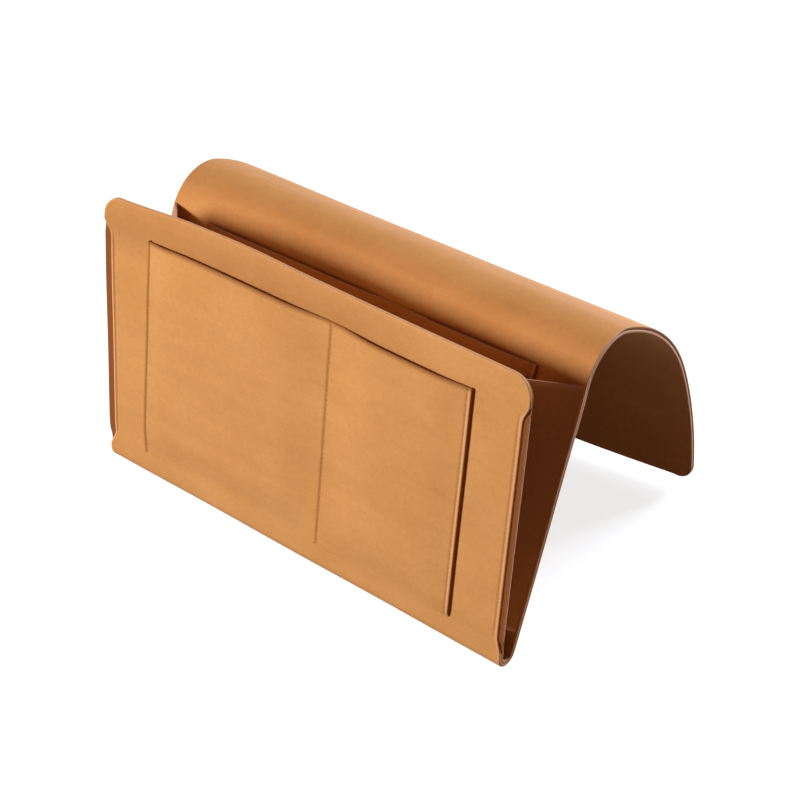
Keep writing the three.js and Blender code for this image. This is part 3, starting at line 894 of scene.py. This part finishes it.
def flat_pocket(pocket):
    """The leather of a flat pocket and its seams. Its height above the face is h(x, t), and at its two
    sides it turns down to the face round a quarter circle and ends in a thin foot."""
    turn = np.linspace(0, math.pi / 2, 5)[1:]
    bend_in = np.concatenate([[0, 0], POCKET_BEND * (1 - np.cos(turn))])
    bend_up = np.concatenate([[0, 0.55], np.sin(turn)])
    face_x = pocket_columns(pocket.divider)
    x = np.concatenate([-POCKET_HALF + bend_in, face_x, (POCKET_HALF - bend_in)[::-1]])
    up = np.concatenate([bend_up, np.ones_like(face_x), bend_up[::-1]])
    foot = np.concatenate([[1, 0.5], np.zeros(len(x) - 4), [0.5, 1]])
    t = along(0, pocket.height, POCKET_STEP, first_edge=True, last_edge=True)[:, None]
    rise = pocket_rise(pocket, x, t)
    from_side = POCKET_HALF - np.abs(x)
    seams = bell(from_side - SEAM_IN, SEAM_WIDTH, SEAM_DEPTH)
    seams = seams - bell(from_side - BEAD_IN, 0.8 * MM, 0.35 * MM)
    seams = seams + bell(x - pocket.divider, 0.9 * MM, DIVIDER_DEPTH)
    foot_seam = bell(pocket.height - t - SEAM_IN, 0.5 * MM, FOOT_DEPTH)
    outer = (rise - POCKET_BEND * (1 - up)) * (1 - foot) + POCKET_LOW * foot
    outer = outer - np.maximum(seams, foot_seam) - rounded(t, 0.8 * MM)
    outer = np.maximum(outer - rounded(pocket.height - t, 0.6 * MM), POCKET_LOW)
    inner_x = np.clip(x, -POCKET_HALF + POCKET_LEATHER, POCKET_HALF - POCKET_LEATHER)
    lowest = POCKET_LOW * 0.5
    inner = np.where(foot > 0, lowest, np.maximum(rise - POCKET_LEATHER, lowest))
    inner = np.minimum(inner, outer - 0.02 * MM)
    piece = closed_leather(
        pocket.name,
        above_face(pocket, x, t, outer),
        above_face(pocket, inner_x, t, inner),
        pocket.leather,
        **pocket_masks(pocket, x, t, from_side),
    )
    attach(piece, pocket.body)
    pocket_seams(pocket)
    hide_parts(pocket.node)


flat_pocket(FlatPocket(
    name="front_patch_pocket",
    node="front_pocket",
    slot="skin_leather",
    body="front_panel",
    leather=skin_leather,
    offset=0,
    outward=-1,
    mouth_at=FRONT_POCKET_TOP,
    down=1,
    height=FRONT_POCKET_HEIGHT,
    mouth_ends=FRONT_MOUTH_ENDS,
    foot_ends=FRONT_FOOT_ENDS,
    divider=FRONT_DIVIDER_X,
    left_share=0.55,
    # Edge paint and painted shade along the mouth
    dark_mouth=0.75,
    dark_face=0,
    pale_mouth=0,
))
flat_pocket(FlatPocket(
    name="inner_patch_pocket",
    node="inner_pocket",
    slot="lining_leather",
    body="wall",
    leather=lining_leather,
    offset=SHEET,
    outward=1,
    mouth_at=SADDLE_AT + INNER_MOUTH_PAST_WALL,
    down=-1,
    height=INNER_POCKET_HEIGHT,
    mouth_ends=INNER_POCKET_ENDS,
    foot_ends=INNER_POCKET_ENDS,
    divider=INNER_DIVIDER_X,
    left_share=0.4,
    dark_mouth=0,
    # Painted shade that deepens into the inner pocket
    dark_face=0.7,
    pale_mouth=0.6,
))


def gusset_point(side, up, share, inward):
    """Point of a gusset. up is the height along the wall, share runs from the wall (0) to the front panel
    (1), and inward is the distance in from the sheet's edge."""
    edge_x = side * (HALF_WIDTH - GUSSET_IN)
    by_wall = place(edge_x, WALL_AT + up, GUSSET_LIFT)
    by_front = place(edge_x, FOLD_AT - up, GUSSET_LIFT - side_pinch(0, FOLD_AT - up))
    point = by_wall + (by_front - by_wall) * share[..., None]
    point[..., 0] -= side * inward
    return point


def pleat(own, depth, radius, lifted):
    """Section of half a pleat, as distances u from its panel's edge and v in from the sheet's edge: a
    straight run, and then an arc of radius r about a point CREASE_ROUND / cos(lean) short of the crease.
    The crease lies at u = own and v = depth, and lean is the run's angle to the line between the panels."""
    lean = np.arctan2(depth, own)
    centre = depth - CREASE_ROUND / np.cos(lean)
    run = np.linspace(0, 1, 15)
    angle = lean * np.linspace(1, 0, 8)[1:]
    run_end = centre + radius * np.cos(lean)
    run_start = lifted / np.cos(lean)
    u = np.concatenate([(own - radius * np.sin(lean)) * run, own - radius * np.sin(angle)], 1)
    v = np.concatenate([run_start + (run_end - run_start) * run, centre + radius * np.cos(angle)], 1)
    return u, v


def gusset_half(word, side, by_wall):
    """Part of a pleated gusset, from the wall or the front panel to the middle of its crease, which lies at
    a share CREASE_AT of the way between them. Its depth grows in a straight line from foot to top, and
    painted shade darkens it higher up."""
    top = GUSSET_TOPS[word]
    level = np.linspace(0, 1, 41)[:, None]
    up = GUSSET_FOOT + (top - GUSSET_FOOT) * level
    depth = CREASE_FOOT + (CREASE_TOPS[word] - CREASE_FOOT) * level
    gap = section(WALL_AT + up[:, 0], GUSSET_LIFT) - section(FOLD_AT - up[:, 0], GUSSET_LIFT)
    span = np.linalg.norm(gap, axis=1)[:, None]
    own = span * (CREASE_AT if by_wall else 1 - CREASE_AT)
    faces = []
    for lifted in (0, GUSSET_LEATHER):
        u, v = pleat(own, depth, CREASE_ROUND + lifted, lifted)
        share = u / span if by_wall else 1 - u / span
        faces.append(gusset_point(side, np.broadcast_to(up, u.shape), share, v))
    piece = closed_leather(
        f"gusset_{word}_by_{'wall' if by_wall else 'front'}",
        *faces,
        lining_leather,
        cut_edge=raw_share(np.minimum(up - GUSSET_FOOT, top - up)),
        # Painted shade, deeper higher up the pleat
        painted_edge=PLEAT_SHADE * ramp(level, 0, 0.6),
    )
    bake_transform(piece)
    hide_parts(f"gusset_{word}")


for side, word in ((-1, "left"), (1, "right")):
    gusset_half(word, side, by_wall=True)
    gusset_half(word, side, by_wall=False)


def skin_seam(name, x, s, body):
    """A row of stitches in the pressed seam on the skin's outer face."""
    points = place(x, s, SEAM_DEPTH)
    stitches(name, points, place(x, s, SEAM_DEPTH - MM) - points, body)


for side, word in ((-1, "left"), (1, "right")):
    s = np.linspace(28 * MM, FOLD_AT - 16 * MM, 120)
    x = side * (skin_half(s) - SEAM_IN) + SKIN_SHIFT * stepped(s)
    skin_seam(f"front_seam_{word}", x, s, "front_panel")
    s = np.linspace(WALL_AT + 18 * MM, SPLIT_AT - 2 * MM, 120)
    x = side * (full_half(s) - SEAM_IN)
    skin_seam(f"wall_seam_{word}", x, s, "wall")


def photo_camera():
    """A camera at the photograph's viewing angle."""
    data = bpy.data.cameras.new("camera")
    data.sensor_width = SENSOR_WIDTH
    data.lens = LENS
    data.clip_start = 0.05
    data.clip_end = 50
    camera = bpy.data.objects.new("camera", data)
    camera.location = CAMERA_AT
    camera.rotation_euler = [math.radians(angle) for angle in CAMERA_TURN]
    bpy.context.scene.collection.objects.link(camera)
    bpy.context.scene.camera = camera


def seen_directly(tree):
    """1 for rays from the camera, glossy rays and transmission rays, and 0 for the rest."""
    ray = add(tree, "ShaderNodeLightPath").outputs
    seen = ray["Is Camera Ray"]
    for kind in ("Is Glossy Ray", "Is Transmission Ray"):
        both = add(tree, "ShaderNodeMath", operation="ADD", use_clamp=True, in_0=seen, in_1=ray[kind])
        seen = both.outputs[0]
    return seen


def floor():
    """A plain pale floor that keeps the object's shadow, and gives it back only a faint warm light."""
    low = cad_box[0][2] - FLOOR_BELOW
    corners = [(x * FLOOR_HALF, y * FLOOR_HALF, low) for x, y in ((-1, -1), (1, -1), (1, 1), (-1, 1))]
    mesh = bpy.data.meshes.new("floor")
    mesh.from_pydata(corners, [], [(0, 1, 2, 3)])
    material, tree, shader = new_material("floor")
    seen = seen_directly(tree)
    tree.links.new(mixed(tree, seen, FLOOR_UNSEEN, FLOOR_SEEN), shader.inputs["Base Color"])
    tree.links.new(mixed(tree, seen, (0, 0, 0), FLOOR_GLOW), shader.inputs["Emission Color"])
    shader.inputs["Emission Strength"].default_value = 1
    shader.inputs["Roughness"].default_value = 0.9
    mesh.materials.append(material)
    plane = bpy.data.objects.new("floor", mesh)
    bpy.context.scene.collection.objects.link(plane)


def studio():
    """A white world to the eye, which gives the object only a faint warm light."""
    world = bpy.data.worlds.new("studio")
    world.use_nodes = True
    tree = world.node_tree
    colour = mixed(tree, seen_directly(tree), WORLD_UNSEEN, (1, 1, 1))
    tree.links.new(colour, tree.nodes["Background"].inputs["Color"])
    bpy.context.scene.world = world


def soft_light(name, location, target, size, watts, tint):
    """A square lamp that faces a point."""
    data = bpy.data.lights.new(name, "AREA")
    data.color = tint
    data.shape = "SQUARE"
    data.size = size
    data.energy = watts
    lamp = bpy.data.objects.new(name, data)
    lamp.location = location
    x, y, z = np.array(target) - np.array(location)
    lamp.rotation_euler = (math.atan2(math.hypot(x, y), -z), 0, math.atan2(y, x) - math.pi / 2)
    bpy.context.scene.collection.objects.link(lamp)


photo_camera()
floor()
soft_light("key", location=(-0.95, -2.05, 1.03), target=(0, 0, -0.08), size=0.45, watts=63, tint=(1, 1, 1))
soft_light("back", location=(0.68, 2.22, 0.85), target=(0, 0, -0.05), size=1, watts=92, tint=(0.9, 1, 1.2))
studio()
bpy.context.scene.view_settings.view_transform = "Standard"
